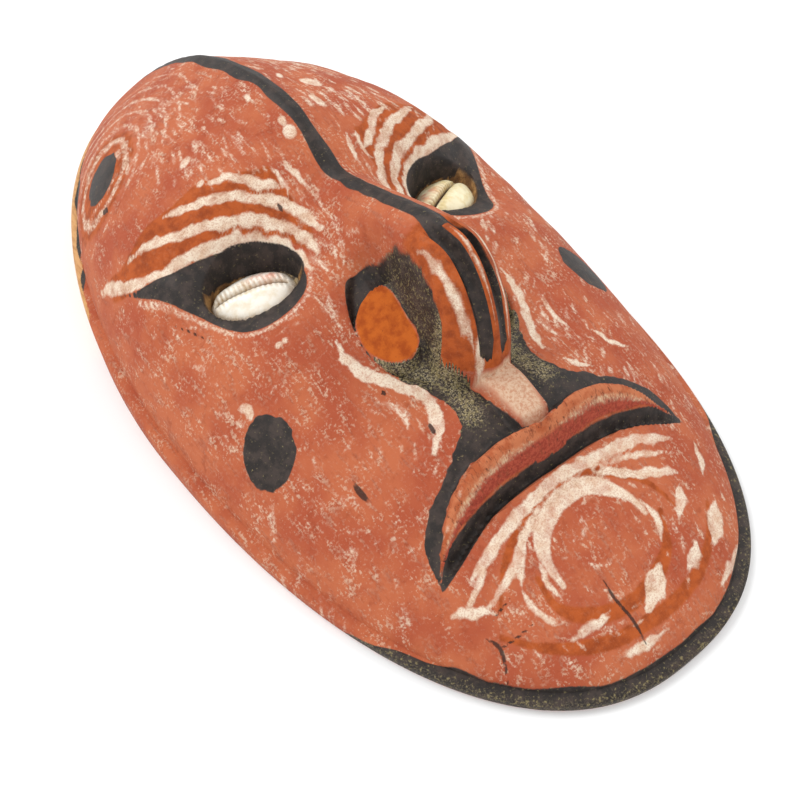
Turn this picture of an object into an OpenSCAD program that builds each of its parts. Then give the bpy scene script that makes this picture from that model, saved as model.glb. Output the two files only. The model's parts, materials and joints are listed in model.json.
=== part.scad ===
// Carved face mask: one hollowed piece of wood with two cowrie shells set in putty as eyes.
// The rim lies on z = 0, +Z leaves the face, +Y points to the forehead, X = 0 is the symmetry plane.

/* [Outline] */
// Length from the chin to the crown
mask_length = 260; // [200:1:340]
// Width across the cheekbones
mask_width = 138; // [110:1:180]
// Height of the widest line above the middle of the length
widest_y = -7; // [-20:1:10]
// Roundness of the crown outline, where 2 is an ellipse
crown_round = 1.82; // [1.6:0.01:2.4]
// Roundness of the jaw outline, where 2 is an ellipse
jaw_round = 2.43; // [1.8:0.01:2.8]
// How much wider the forehead is than the jaw
width_skew = 0.08; // [0:0.01:0.12]

/* [Dome] */
// Rise of the face above its rim wall at the middle
dome_rise = 40; // [32:0.5:50]
// Rise of the face at the chin
chin_rise = 21.5; // [16:0.5:28]
// Rise of the face at the crown
crown_rise = 10.5; // [6:0.5:16]
// Height of the upright rim wall at the chin
chin_wall = 3; // [2:0.5:6]
// Height of the upright rim wall at the crown
crown_wall = 19; // [12:0.5:26]
// Distance over which the chin wall height turns into the crown wall height
wall_fade = 90; // [60:1:120]
// Thickness of wood between the face and the hollow
shell_wall = 13; // [11:0.5:16]
// Width of the flat rim that the mask rests on
rim_width = 8; // [6:0.5:12]
// Width of the ledge between the rim's edge and the rise of the face
ledge_width = 3; // [1.5:0.5:5]

/* [Crest] */
// Height of the crest that runs from the crown to the nose
crest_rise = 7; // [3:0.5:9]
// Distance from the middle over which the crest fades away
crest_reach = 13; // [8:0.5:20]

/* [Nose] */
// Height of the nose bridge above the rim plane
bridge_z = 56; // [50:0.5:60]
// Where the bridge lies
bridge_y = 4; // [-4:0.5:10]
// Height of the highest point of the nose above the rim plane
nose_z = 67; // [58:0.5:74]
// Where the highest point of the nose lies
nose_y = -43; // [-46:0.5:-34]
// Height of the nose tip above the rim plane
tip_z = 35; // [32:0.5:42]
// Where the nose tip lies
tip_y = -60; // [-64:0.5:-56]
// Half the width of the roof of the nose
nose_half = 9; // [7:0.5:11]
// Width of the steep sides of the nose
nose_side = 4; // [2:0.5:6]

/* [Nose wings] */
// Distance of a wing disc from the middle
disc_x = 13.5; // [12:0.5:17]
// Height of a wing disc along the face
disc_y = -35; // [-38:0.5:-32]
// Height of a disc face above the rim plane
disc_z = 40; // [36:0.5:44]
// Radius of a wing disc
disc_r = 8.2; // [6:0.1:9]
// Width of the moat round a disc
moat_width = 3; // [2:0.5:4]
// Depth of the moat below the disc face
moat_depth = 4; // [2:0.5:5]
// Outward turn of a disc face in degrees
disc_yaw = 30; // [10:1:40]
// Downward turn of a disc face in degrees
disc_pitch = 20; // [5:1:30]

/* [Mouth] */
// Where the mouth line crosses the middle
mouth_y = -81; // [-86:0.5:-76]
// Half the width of the mouth
mouth_half = 38; // [30:0.5:44]
// How far the mouth corners hang below the middle of the mouth
mouth_droop = 5; // [2:0.5:9]
// Swell of the upper lip and the ridge under the nose
lip_rise = 9; // [4:0.5:11]
// Length of the lip swell from the mouth line up
lip_length = 20; // [14:0.5:24]

/* [Eyes] */
// Distance of an eye from the middle
eye_x = 31; // [28:0.5:34]
// Height of an eye along the face
eye_y = -1; // [-5:0.5:4]
// Depth of an eye socket floor below the plain dome
eye_depth = 16.5; // [14:0.5:19]
// Depth of the hollow round an eye
eye_sink = 9; // [6:0.5:10]
// Thickness of wood left behind an eye socket
eye_backing = 4; // [3:0.5:6]
// Outward turn of an eye in degrees
eye_yaw = 12; // [4:1:18]
// Turn of an eye in its own plane in degrees, outer end up
eye_roll = 25; // [10:1:35]
// Length of a cowrie shell
cowrie_length = 24; // [18:0.5:26]
// Width of a cowrie shell
cowrie_width = 16.5; // [12:0.5:18]
// Height of a cowrie shell above its cut back
cowrie_height = 6; // [4:0.5:7]
// Width of the cowrie's mouth
slit_width = 1.4; // [0.8:0.1:2.4]
// Length of the cowrie's mouth
slit_length = 19; // [12:0.5:20]
// Depth of the cowrie's mouth
slit_depth = 1.6; // [0.8:0.1:2.5]
// Width of the putty round a cowrie
putty_width = 1.5; // [1:0.1:2.5]
// Thickness of the putty bed under a cowrie
putty_bed = 1; // [0.5:0.1:1.5]
// Height of the putty round a cowrie above the bed
putty_height = 2.6; // [1.5:0.1:4]
// Clearance between wood, putty and shell
seat_gap = 0.1; // [0.05:0.05:0.2]

/* [Hidden] */

half_length = mask_length / 2;
half_width = mask_width / 2;
ANGLES = 72;
FACE_RINGS = 30;
HOLLOW_RINGS = 12;
CUT_REACH = 40;
eye_socket_length = cowrie_length + 2 * putty_width;
eye_socket_width = cowrie_width + 2 * putty_width;
eye_area = [16, 11];
backing_slope = 0.8;
$fn = 64;

// Smooth step from 0 to 1
function ease(t) = let (c = min(1, max(0, t))) c * c * (3 - 2 * c);

// Signed root that squares off a circle into a superellipse of order n
function squared(v, n) = sign(v) * pow(abs(v), 2 / n);

// Point of the outline at angle a, moved inwards by inset
function outline(a, inset) =
    let (n = sin(a) > 0 ? crown_round : jaw_round,
         reach = half_length - sign(sin(a)) * widest_y - inset,
         rise = squared(sin(a), n))
    [(half_width - inset) * squared(cos(a), n) * (1 + width_skew * rise), widest_y + reach * rise];

// Height of the upright wall under the edge of the face at angle a
function edge_wall(a) = chin_wall + (crown_wall - chin_wall) * pow(0.5 + 0.5 * sin(a), 2);

// The same height carried to the middle of the face
function core_wall(y) = chin_wall + (crown_wall - chin_wall) * ease((y + wall_fade / 2) / wall_fade);

// Rise of the face above the wall along the symmetry plane
function face_rise(y) =
    y < 0 ? dome_rise - (dome_rise - chin_rise) * (-y / half_length)
          : dome_rise - (dome_rise - crown_rise) * pow(y / half_length, 3);

// Cross-section of the dome, 1 at the middle and 0 at the edge
function section(r, a) = pow(max(0, 1 - pow(r, 2.63 + 0.6 * sin(a))), 0.65);

// Plain dome at share r of the outline, at angle a and height y
function dome(r, a, y) = edge_wall(a) * r * r + core_wall(y) * (1 - r * r) + face_rise(y) * section(r, a);

// Plain dome at x and y, close to the middle of the face
function plain_dome(x, y) =
    let (up = y - widest_y, n = up > 0 ? crown_round : jaw_round,
         side = abs(x) / (half_width - ledge_width),
         rise = abs(up) / (half_length - sign(up) * widest_y - ledge_width),
         r = pow(pow(side, n) + pow(rise, n), 1 / n))
    dome(r, atan2(sign(up) * pow(rise, n / 2), pow(side, n / 2)), y);

// Crest from the crown to the bridge
function crest(r, x, y) =
    crest_rise * exp(-abs(x) / crest_reach) * (1 - 0.37 * pow(r, 3)) * ease((y - bridge_y + 10) / 30);

// Roof line of the nose above the rim plane
function nose_roof(y) =
    y > nose_y ? bridge_z + (nose_z - bridge_z) * ease((bridge_y - y) / (bridge_y - nose_y))
               : tip_z + (nose_z - tip_z) * sqrt(max(0, 1 - pow((nose_y - y) / (nose_y - tip_y), 2)));

// Share of the nose in the height at x and y
function nose_share(x, y) =
    y < tip_y ? 0 : ease((nose_half + nose_side - abs(x)) / nose_side) * ease((bridge_y + 8 - y) / 16);

// Middle line of the mouth
function mouth_line(x) = mouth_y - mouth_droop * pow(x / mouth_half, 2);

// Swell of the upper lip, steep at the mouth and gentle towards the nose
function lip(x, y) =
    let (up = y - mouth_line(x), side = max(0, 1 - pow(x / mouth_half, 2)))
    up < -4 ? 0 : lip_rise * side * ease((up + 4) / 8) * ease((lip_length + 6 - up) / 12);

// Distance from an eye as a share of an elliptical area
function eye_distance(x, y, size) = norm([(abs(x) - eye_x) / size.x, (y - eye_y) / size.y]);

// Height of the carved face
function face(r, a, x, y) =
    let (plain = dome(r, a, y) + crest(r, x, y) + lip(x, y)
             - eye_sink * exp(-pow(eye_distance(x, y, eye_area), 2)),
         share = nose_share(x, y))
    plain * (1 - share) + max(plain, nose_roof(y) - 0.5 * abs(x)) * share;

// Highest place that the hollow may reach behind an eye
function eye_cap(x, y) =
    let (out = abs(x) - eye_x, past = norm([out, y - eye_y]) - eye_socket_length / 2 - 1)
    eye_floor_z - eye_backing - tan(eye_yaw) * out + backing_slope * max(0, past);

// Height of the hollow behind the face
function hollow(r, a, x, y) = min(eye_cap(x, y), dome(r, a, y) - shell_wall * (1 - pow(r, 6)));

// Rings of points from the middle out to an outline
function face_ring(i) =
    let (r = i / FACE_RINGS)
    [for (k = [0:ANGLES - 1]) let (a = 360 * k / ANGLES, edge = outline(a, ledge_width),
        x = r * edge.x, y = widest_y + r * (edge.y - widest_y)) [x, y, face(r, a, x, y)]];
function hollow_ring(i) =
    let (r = i / HOLLOW_RINGS)
    [for (k = [0:ANGLES - 1]) let (a = 360 * k / ANGLES, edge = outline(a, rim_width),
        x = r * edge.x, y = widest_y + r * (edge.y - widest_y)) [x, y, hollow(r, a, x, y)]];
function wall_ring(inset, raised) =
    [for (k = [0:ANGLES - 1]) let (a = 360 * k / ANGLES, edge = outline(a, inset))
        [edge.x, edge.y, raised ? edge_wall(a) : 0]];

// Height of the eye socket floor above the rim plane
eye_floor_z = plain_dome(eye_x, eye_y) - eye_depth;

module mask_blank() {
    rings = concat([for (i = [1:FACE_RINGS]) face_ring(i)],
                   [wall_ring(0, true), wall_ring(0, false), wall_ring(rim_width, false)],
                   [for (i = [HOLLOW_RINGS:-1:1]) hollow_ring(i)]);
    count = len(rings);
    top = [0, widest_y, face(0, 90, 0, widest_y)];
    bottom = [0, widest_y, hollow(0, 90, 0, widest_y)];
    points = concat([for (ring = rings) each ring], [top, bottom]);
    sides = [for (i = [0:count - 2], k = [0:ANGLES - 1])
        let (n = (k + 1) % ANGLES, p = i * ANGLES, q = p + ANGLES)
        each [[p + k, q + n, p + n], [p + k, q + k, q + n]]];
    caps = [for (k = [0:ANGLES - 1]) let (n = (k + 1) % ANGLES, last = (count - 1) * ANGLES)
        each [[count * ANGLES, k, n], [count * ANGLES + 1, last + n, last + k]]];
    polyhedron(points = points, faces = concat(sides, caps));
}

// Round-ended block
module stadium(length, width, height) {
    shift = (length - width) / 2;
    for (end = [-1, 1]) translate([end * shift, 0, 0]) cylinder(d = width, h = height);
    translate([-shift, -width / 2, 0]) cube([2 * shift, width, height]);
}

// Frame of an eye, with its origin on the socket floor; side is -1 for the left eye
module at_eye(side) {
    translate([side * eye_x, eye_y, eye_floor_z]) rotate([0, 0, side * eye_roll])
        rotate([0, side * eye_yaw, 0]) children();
}

// Frame of a nose wing, with its origin at the middle of the disc face
module at_wing(side) {
    translate([side * disc_x, disc_y, disc_z]) rotate([0, side * disc_yaw, 0])
        rotate([disc_pitch, 0, 0]) children();
}

// Cowrie shell, mouth up, cut flat at its back
module cowrie_body(grow) {
    rows = 10;
    steps = 40;
    length = cowrie_length / 2 + grow;
    width = cowrie_width / 2 + grow;
    height = cowrie_height + grow;
    function shell_point(i, k) =
        let (lift = 90 * i / rows, a = 360 * k / steps, reach = pow(cos(lift), 0.8))
        [length * reach * cos(a), width * reach * sin(a) * (1 + 0.1 * cos(a)), height * sin(lift)];
    points = concat([for (i = [0:rows - 1], k = [0:steps - 1]) shell_point(i, k)],
                    [[0, 0, height], [0, 0, 0]]);
    sides = [for (i = [0:rows - 2], k = [0:steps - 1])
        let (n = (k + 1) % steps, p = i * steps, q = p + steps)
        each [[p + k, q + n, p + n], [p + k, q + k, q + n]]];
    caps = [for (k = [0:steps - 1]) let (n = (k + 1) % steps, last = (rows - 1) * steps)
        each [[last + k, rows * steps, last + n], [k, n, rows * steps + 1]]];
    polyhedron(points = points, faces = concat(sides, caps));
}

module eye_cowrie(side) {
    color("ivory") at_eye(side) translate([0, 0, putty_bed]) difference() {
        cowrie_body(0);
        translate([0, 0, cowrie_height - slit_depth]) stadium(slit_length, slit_width, cowrie_height);
    }
}

module eye_putty(side) {
    color("darkkhaki") at_eye(side) difference() {
        stadium(eye_socket_length - 2 * seat_gap, eye_socket_width - 2 * seat_gap, putty_bed + putty_height);
        translate([0, 0, putty_bed]) cowrie_body(seat_gap);
    }
}

module wing_moat(side) {
    at_wing(side) translate([0, 0, -moat_depth]) difference() {
        cylinder(r = disc_r + moat_width, h = CUT_REACH);
        translate([0, 0, -1]) cylinder(r = disc_r, h = moat_depth + 1);
    }
}

module mask_shell() {
    color("indianred") difference() {
        mask_blank();
        for (side = [-1, 1]) {
            at_eye(side) stadium(eye_socket_length, eye_socket_width, CUT_REACH);
            wing_moat(side);
        }
    }
}

module left_eye_cowrie() { eye_cowrie(-1); }
module right_eye_cowrie() { eye_cowrie(1); }
module left_eye_putty() { eye_putty(-1); }
module right_eye_putty() { eye_putty(1); }

mask_shell();
left_eye_cowrie();
right_eye_cowrie();
left_eye_putty();
right_eye_putty();
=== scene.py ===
"""Looks of a carved and painted wooden face mask with cowrie shell eyes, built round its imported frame."""

import json
import logging
import math
from dataclasses import dataclass, field
from enum import Enum
from typing import Callable, Sequence

import bpy
import numpy as np
from mathutils import Matrix, Vector

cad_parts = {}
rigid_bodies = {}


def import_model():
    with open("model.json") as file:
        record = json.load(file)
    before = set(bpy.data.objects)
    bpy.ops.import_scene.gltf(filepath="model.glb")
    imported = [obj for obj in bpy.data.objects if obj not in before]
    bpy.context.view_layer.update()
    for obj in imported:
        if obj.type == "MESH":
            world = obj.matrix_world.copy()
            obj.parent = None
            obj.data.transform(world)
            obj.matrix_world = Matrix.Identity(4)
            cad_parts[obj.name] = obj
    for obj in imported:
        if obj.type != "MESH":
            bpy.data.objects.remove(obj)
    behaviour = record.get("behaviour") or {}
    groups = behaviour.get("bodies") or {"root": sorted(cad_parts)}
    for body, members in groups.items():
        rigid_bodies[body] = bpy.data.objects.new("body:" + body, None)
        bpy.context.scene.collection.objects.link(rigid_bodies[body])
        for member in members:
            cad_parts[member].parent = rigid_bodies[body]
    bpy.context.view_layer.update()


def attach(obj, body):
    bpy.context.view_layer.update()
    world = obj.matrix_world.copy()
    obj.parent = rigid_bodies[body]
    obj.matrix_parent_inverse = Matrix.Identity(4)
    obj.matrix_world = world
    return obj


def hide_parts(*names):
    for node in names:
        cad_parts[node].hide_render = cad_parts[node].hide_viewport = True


logging.basicConfig(level=logging.INFO, format="%(message)s")
log = logging.getLogger("mask")

MM = 0.001
Points = Sequence[tuple[float, float]]
Colour = tuple[float, float, float]


class Side(Enum):
    """The two sides of the face, as signs along X."""

    LEFT = -1
    RIGHT = 1


# ---------------------------------------------------------------------------------------------
# Small curve and field helpers, all in millimetres
# ---------------------------------------------------------------------------------------------


def ease(value: np.ndarray | float) -> np.ndarray:
    """Smooth step of a value from 0 to 1."""
    t = np.clip(value, 0.0, 1.0)
    return t * t * (3.0 - 2.0 * t)


def curve(points: Points, closed: bool = False, steps: int = 8) -> np.ndarray:
    """Runs a smooth curve through a few points.

    Args:
        points: the points that it passes through.
        closed: True for a loop.
        steps: how many points it gets between two given ones.

    Returns:
        The curve as an array of x and y.
    """
    p = np.asarray(points, float)
    n = len(p)
    spans = n if closed else n - 1
    t = (np.arange(steps) / steps)[:, None]
    rows = []
    for i in range(spans):
        if closed:
            a, b, c, d = (p[(i + k) % n] for k in (-1, 0, 1, 2))
        else:
            a, b, c, d = (p[min(max(i + k, 0), n - 1)] for k in (-1, 0, 1, 2))
        rows.append(0.5 * (2 * b + (c - a) * t + (2 * a - 5 * b + 4 * c - d) * t**2
                           + (3 * b - a - 3 * c + d) * t**3))
    if not closed:
        rows.append(p[-1:])
    return np.concatenate(rows)


def line_distance(x: np.ndarray, y: np.ndarray, line: np.ndarray) -> tuple[np.ndarray, np.ndarray]:
    """Measures how far points lie from a line of short straight pieces.

    Args:
        x: the points' x.
        y: the points' y.
        line: the line's points.

    Returns:
        The distance, and the share of the line's length at the nearest place.
    """
    best = np.full(x.shape, 1e9)
    along = np.zeros(x.shape)
    pieces = np.diff(line, axis=0)
    lengths = np.hypot(pieces[:, 0], pieces[:, 1])
    starts = np.concatenate([[0.0], np.cumsum(lengths)])
    for (ax, ay), (dx, dy), length, start in zip(line[:-1], pieces, lengths, starts):
        if length < 1e-9:
            continue
        t = np.clip(((x - ax) * dx + (y - ay) * dy) / length**2, 0.0, 1.0)
        gap = np.hypot(x - ax - t * dx, y - ay - t * dy)
        near = gap < best
        best = np.where(near, gap, best)
        along = np.where(near, start + t * length, along)
    return best, along / max(starts[-1], 1e-9)


def loop_distance(x: np.ndarray, y: np.ndarray, loop: np.ndarray) -> np.ndarray:
    """Signed distance from a closed loop, below zero inside it."""
    closed = np.vstack([loop, loop[:1]])
    gap, _ = line_distance(x, y, closed)
    inside = np.zeros(x.shape, bool)
    for (ax, ay), (bx, by) in zip(closed[:-1], closed[1:]):
        if ay == by:
            continue
        crosses = ((ay > y) != (by > y)) & (x < (bx - ax) * (y - ay) / (by - ay) + ax)
        inside ^= crosses
    return np.where(inside, -gap, gap)


@dataclass(frozen=True)
class Ripple:
    """A smooth random field made of waves, the same on every run."""

    seed: int
    size: float
    waves: int = 24

    def at(self, x: np.ndarray, y: np.ndarray, z: np.ndarray | float = 0.0) -> np.ndarray:
        """Value between about -1 and 1 at each point."""
        rng = np.random.default_rng(self.seed)
        turn = rng.uniform(0, 2 * math.pi, self.waves)
        lift = rng.uniform(-0.7, 0.7, self.waves)
        rate = 2 * math.pi / self.size * rng.uniform(0.6, 1.6, self.waves)
        shift = rng.uniform(0, 2 * math.pi, self.waves)
        total = np.zeros(np.shape(x))
        for a, b, k, s in zip(turn, lift, rate, shift):
            total += np.cos(k * (x * math.cos(a) + y * math.sin(a) + z * b) + s)
        return total / math.sqrt(self.waves * 2)


# ---------------------------------------------------------------------------------------------
# The form of the face
# ---------------------------------------------------------------------------------------------


@dataclass(frozen=True)
class Outline:
    """The mask's outline: a superellipse with a rounder jaw than crown."""

    half_width: float = 69.0
    half_length: float = 130.0
    widest_y: float = -7.0
    crown_round: float = 1.82
    jaw_round: float = 2.43
    skew: float = 0.08

    def gap(self, x: np.ndarray, y: np.ndarray) -> np.ndarray:
        """How far inside the outline each place lies, in millimetres."""
        up = y - self.widest_y
        n = np.where(up > 0, self.crown_round, self.jaw_round)
        rise = np.abs(up) / (self.half_length - np.sign(up) * self.widest_y)
        across, share = np.abs(x) / self.half_width, np.ones(x.shape)
        for _ in range(3):
            lean = 1 + self.skew * np.sign(up) * np.clip(rise / np.maximum(share, 1e-6), 0, 1)
            share = ((across / lean) ** n + rise**n) ** (1 / n)
        return (1 / np.maximum(share, 1e-6) - 1) * np.hypot(x, up)

    def edge(self, angle: np.ndarray, inset: np.ndarray | float = 0.0) -> tuple[np.ndarray, np.ndarray]:
        """Point of the outline.

        Args:
            angle: the angle round the outline, in radians.
            inset: how far inside the outline the point lies.

        Returns:
            Its x and y.
        """
        s, c = np.sin(angle), np.cos(angle)
        n = np.where(s > 0, self.crown_round, self.jaw_round)
        reach = self.half_length - np.sign(s) * self.widest_y - inset
        rise = np.sign(s) * np.abs(s) ** (2 / n)
        x = (self.half_width - inset) * np.sign(c) * np.abs(c) ** (2 / n) * (1 + self.skew * rise)
        return x, self.widest_y + reach * rise


@dataclass(frozen=True)
class Nose:
    """The hooked nose, a blade with a roof of two grooves beside a middle line."""

    bridge_y: float = 4.0
    bridge_z: float = 56.0
    top_y: float = -43.0
    top_z: float = 66.4
    tip_y: float = -60.0
    tip_z: float = 34.0
    bridge_half: float = 3.5
    spread: float = 6.5
    roof_fall: float = 6.5
    front_curve: float = 6.0
    groove_x: float = 2.6
    groove_half: float = 1.15
    groove_depth: float = 3.2

    def roof(self, y: np.ndarray) -> np.ndarray:
        """Height of the middle line."""
        climb = ease((self.bridge_y - y) / (self.bridge_y - self.top_y))
        back = self.bridge_z + (self.top_z - self.bridge_z) * climb
        t = np.clip((self.top_y - y) / (self.top_y - self.tip_y), 0, 1)
        front = self.tip_z + (self.top_z - self.tip_z) * np.sqrt(1 - t * t)
        return np.where(y > self.top_y, back, front)

    def half(self, y: np.ndarray) -> np.ndarray:
        """Half the width of the roof."""
        t = np.clip((self.bridge_y - y) / (self.bridge_y - self.tip_y), 0, 1)
        return self.bridge_half + self.spread * t**1.3

    def shape(self, x: np.ndarray, y: np.ndarray, ground: np.ndarray) -> np.ndarray:
        """Raises the nose out of the face.

        Args:
            x: distance from the middle.
            y: place along the face.
            ground: height of the face round the nose.

        Returns:
            The height with the nose on it.
        """
        across = np.abs(x)
        reach = self.half(y)
        top = self.roof(y - self.front_curve * (across / 10) ** 2) - self.roof_fall * (across / 9) ** 1.5
        start = ease((-33 - y) / 9)
        groove = ease((self.groove_half + 0.5 - np.abs(across - self.groove_x)) / 1.0)
        top = top - self.groove_depth * groove * start
        side = 3.0 + 11.0 * ease((y + 24) / 14)
        share = 1 - ease((across - reach) / side)
        share = share * ease((self.bridge_y + 10 - y) / 18) * ease((y - self.tip_y + 1.2) / 1.2)
        return ground + np.maximum(top - ground, 0) * share


@dataclass(frozen=True)
class Wing:
    """A nose wing: a scooped hollow with a round flat disc standing in it."""

    x: float = 13.0
    y: float = -35.0
    z: float = 40.5
    radius: float = 8.8
    moat: float = 4.2
    slope_x: float = 0.58
    slope_y: float = 0.3
    outline: Points = ((6.5, -23.5), (8.3, -19.5), (11, -18.3), (14, -20), (16.5, -22.8), (18.8, -27), (20.4,
                                                                                                        -32),
                       (21, -37), (19.8, -42), (16.5, -47), (12.5, -51), (10, -48), (8.6, -40), (7.2, -31))

    def shape(self, x: np.ndarray, y: np.ndarray, ground: np.ndarray) -> np.ndarray:
        """Cuts both hollows into the face and leaves the discs standing."""
        across = np.abs(x)
        gap = loop_distance(across, y, curve(self.outline, closed=True))
        plane = self.z - self.slope_x * (across - self.x) + self.slope_y * (y - self.y)
        du = (across - self.x) * 1.16
        dv = (y - self.y + 0.6) * 0.97
        from_disc = np.hypot(du, dv) - self.radius
        floor = plane - self.moat * ease(from_disc / 1.4)
        cut = ease((0.6 - gap) / 2.2)
        stand = ease((1.2 - from_disc) / 1.2) * ease((-19 - y) / 4)
        return ground + np.where(floor < ground, (floor - ground) * cut, (floor - ground) * cut * stand)


@dataclass(frozen=True)
class Mouth:
    """The frowning mouth: a raised upper lip over a sunk band, and the ridge under the nose."""

    lip_top: Points = ((0, -75.5), (5, -74.2), (12, -73.5), (20, -74), (26, -76), (31, -79.2), (35.2, -83.7))
    lip_bottom: Points = ((0, -80), (10, -79.6), (18, -80), (26, -81.5), (35.2, -84.4))
    band_bottom: Points = ((0, -82.3), (12, -82.3), (20, -82.9), (26, -84.3), (32, -86.3), (37.8, -88))
    ridge_half: float = 5.0
    ridge_end: float = -73.5

    def shape(self, x: np.ndarray, y: np.ndarray, ground: np.ndarray) -> np.ndarray:
        """Adds the swell of the upper lip, the lip itself, the ridge above it and the sunk band."""
        across = np.abs(x)
        end = self.lip_bottom[-1][0]
        top = np.interp(across, *zip(*self.lip_top))
        low = np.interp(across, *zip(*self.lip_bottom))
        band = np.interp(across, *zip(*self.band_bottom))
        side = np.clip(1 - (across / (end + 1)) ** 2, 0, 1)
        swell = 3.6 * side * ease((y - low) / 4) * ease((-52 - y) / 14)
        share = np.clip((top - y) / np.maximum(top - low, 0.5), -1, 2)
        lip = 5.5 * side**0.6 * ease((share + 0.25) / 0.5) * ease((1.15 - share) / 0.3)
        lip = lip * (1 - 0.35 * np.clip(share, 0, 1))
        ridge = 3.0 * ease((self.ridge_half - across) / 1.8 + 0.5) * ease((y - self.ridge_end) / 2.5 + 0.5)
        ridge = ridge * ease((-55 - y) / 3)
        sunk = 2.2 * ease((low - y) / 1.5) * ease((y - band) / 1.5 + 0.6) * ease((end + 2 - across) / 4)
        return ground + swell + lip + np.maximum(ridge - 0.5 * lip, 0) - sunk


@dataclass(frozen=True)
class EyeField:
    """The sunk leaf-shaped panel of an eye and the socket that its shell sits in."""

    x: float = 31.0
    y: float = -1.0
    floor_z: float = 30.0
    yaw: float = math.radians(12)
    roll: float = math.radians(25)
    socket_long: float = 12.8
    socket_wide: float = 8.8
    sink: float = 10.4
    leaf: Points = ((56, 29.5), (46, 19), (38, 13), (30, 10.5), (22, 6.5), (17, 0), (17.5, -5.5), (23, -9.5),
                    (31, -9.5), (39, -5.5), (45, 3), (50, 15))

    def local(self, x: np.ndarray, y: np.ndarray) -> tuple[np.ndarray, np.ndarray]:
        """Turns a place on the face into the eye's own long and wide directions."""
        u, v = np.abs(x) - self.x, y - self.y
        c, s = math.cos(self.roll), math.sin(self.roll)
        return u * c + v * s, -u * s + v * c

    def shape(self, x: np.ndarray, y: np.ndarray, ground: np.ndarray) -> np.ndarray:
        """Sinks the eye area, its panel and its socket."""
        across = np.abs(x)
        wide = np.hypot((across - self.x) / 18, (y - self.y) / 12.5)
        ground = ground - self.sink * np.exp(-wide**2)
        gap = loop_distance(across, y, curve(self.leaf, closed=True))
        u, v = self.local(x, y)
        ground = ground - 1.3 * ease(-gap / 4.4)
        ring = np.hypot(u / self.socket_long, v / self.socket_wide) - 1
        floor = self.floor_z + 2.4 - math.tan(self.yaw) * u
        cut = ease((0.02 - ring) / 0.14)
        return ground + np.minimum(floor - ground, 0) * cut


@dataclass(frozen=True)
class FaceForm:
    """Height of the whole carved face over the rim plane."""

    outline: Outline = field(default_factory=Outline)
    nose: Nose = field(default_factory=Nose)
    wing: Wing = field(default_factory=Wing)
    mouth: Mouth = field(default_factory=Mouth)
    eye: EyeField = field(default_factory=EyeField)
    dome_rise: float = 40.0
    chin_rise: float = 21.5
    crown_rise: float = 10.5
    chin_wall: float = 3.0
    crown_wall: float = 19.0
    wall_fade: float = 90.0
    crest_rise: float = 7.0
    crest_reach: float = 13.0

    def edge_wall(self, angle: np.ndarray) -> np.ndarray:
        """Height of the upright wall under the edge of the face."""
        return self.chin_wall + (self.crown_wall - self.chin_wall) * (0.5 + 0.5 * np.sin(angle)) ** 2

    def dome(self, r: np.ndarray, angle: np.ndarray, y: np.ndarray) -> np.ndarray:
        """Plain swelling form without features."""
        upward = ease((y + self.wall_fade / 2) / self.wall_fade)
        core = self.chin_wall + (self.crown_wall - self.chin_wall) * upward
        t = y / self.outline.half_length
        rise = np.where(y < 0, self.dome_rise + (self.dome_rise - self.chin_rise) * t,
                        self.dome_rise - (self.dome_rise - self.crown_rise) * np.abs(t) ** 3)
        section = np.clip(1 - r ** (2.63 + 0.6 * np.sin(angle)), 0, 1) ** 0.65
        return self.edge_wall(angle) * r * r + core * (1 - r * r) + rise * section

    def crest(self, r: np.ndarray, x: np.ndarray, y: np.ndarray) -> np.ndarray:
        """Crest from the crown to the nose bridge."""
        spread = np.sqrt(x * x + 0.8) / self.crest_reach
        start = ease((y - self.nose.bridge_y + 10) / 30)
        return self.crest_rise * np.exp(-spread) * (1 - 0.37 * r**3) * start

    def carved(self, r: np.ndarray, angle: np.ndarray, x: np.ndarray, y: np.ndarray) -> np.ndarray:
        """Height of the face with every feature and the slight unevenness of hand work."""
        z = self.dome(r, angle, y) + self.crest(r, x, y)
        z = self.eye.shape(x, y, z)
        z = self.mouth.shape(x, y, z)
        z = self.nose.shape(x, y, z)
        z = self.wing.shape(x, y, z)
        fade = ease((1 - r) / 0.12)
        return z + fade * (0.28 * Ripple(3, 26).at(x, y) + 0.07 * Ripple(5, 7).at(x, y))


# ---------------------------------------------------------------------------------------------
# Painted marks
# ---------------------------------------------------------------------------------------------


@dataclass(frozen=True)
class Stroke:
    """One pull of the brush: a line that gets thin towards its ends."""

    points: Points
    width: float
    blunt: float = 0.15

    def at(self, x: np.ndarray, y: np.ndarray) -> np.ndarray:
        """How deep each place lies inside the stroke, in millimetres."""
        line = curve(self.points, steps=5)
        gap, along = line_distance(x, y, line)
        ends = ease(np.minimum(along, 1 - along) / max(self.blunt, 1e-3))
        return self.width / 2 * (0.35 + 0.65 * ends) - gap

    def below(self, x: np.ndarray, y: np.ndarray) -> np.ndarray:
        """How far each place lies under the line, in millimetres."""
        line = curve(self.points, steps=5)
        return np.interp(x, line[:, 0], line[:, 1]) - y


@dataclass(frozen=True)
class Patch:
    """A closed painted area."""

    points: Points

    def at(self, x: np.ndarray, y: np.ndarray) -> np.ndarray:
        """How deep each place lies inside the area, in millimetres."""
        return -loop_distance(x, y, curve(self.points, closed=True, steps=6))


@dataclass(frozen=True)
class Dot:
    """A painted oval spot."""

    x: float
    y: float
    half_wide: float
    half_tall: float
    turn: float = 0.0

    def at(self, x: np.ndarray, y: np.ndarray) -> np.ndarray:
        """How deep each place lies inside the spot, in millimetres."""
        c, s = math.cos(math.radians(self.turn)), math.sin(math.radians(self.turn))
        u = (x - self.x) * c + (y - self.y) * s
        v = -(x - self.x) * s + (y - self.y) * c
        return (1 - np.hypot(u / self.half_wide, v / self.half_tall)) * min(self.half_wide, self.half_tall)


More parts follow.
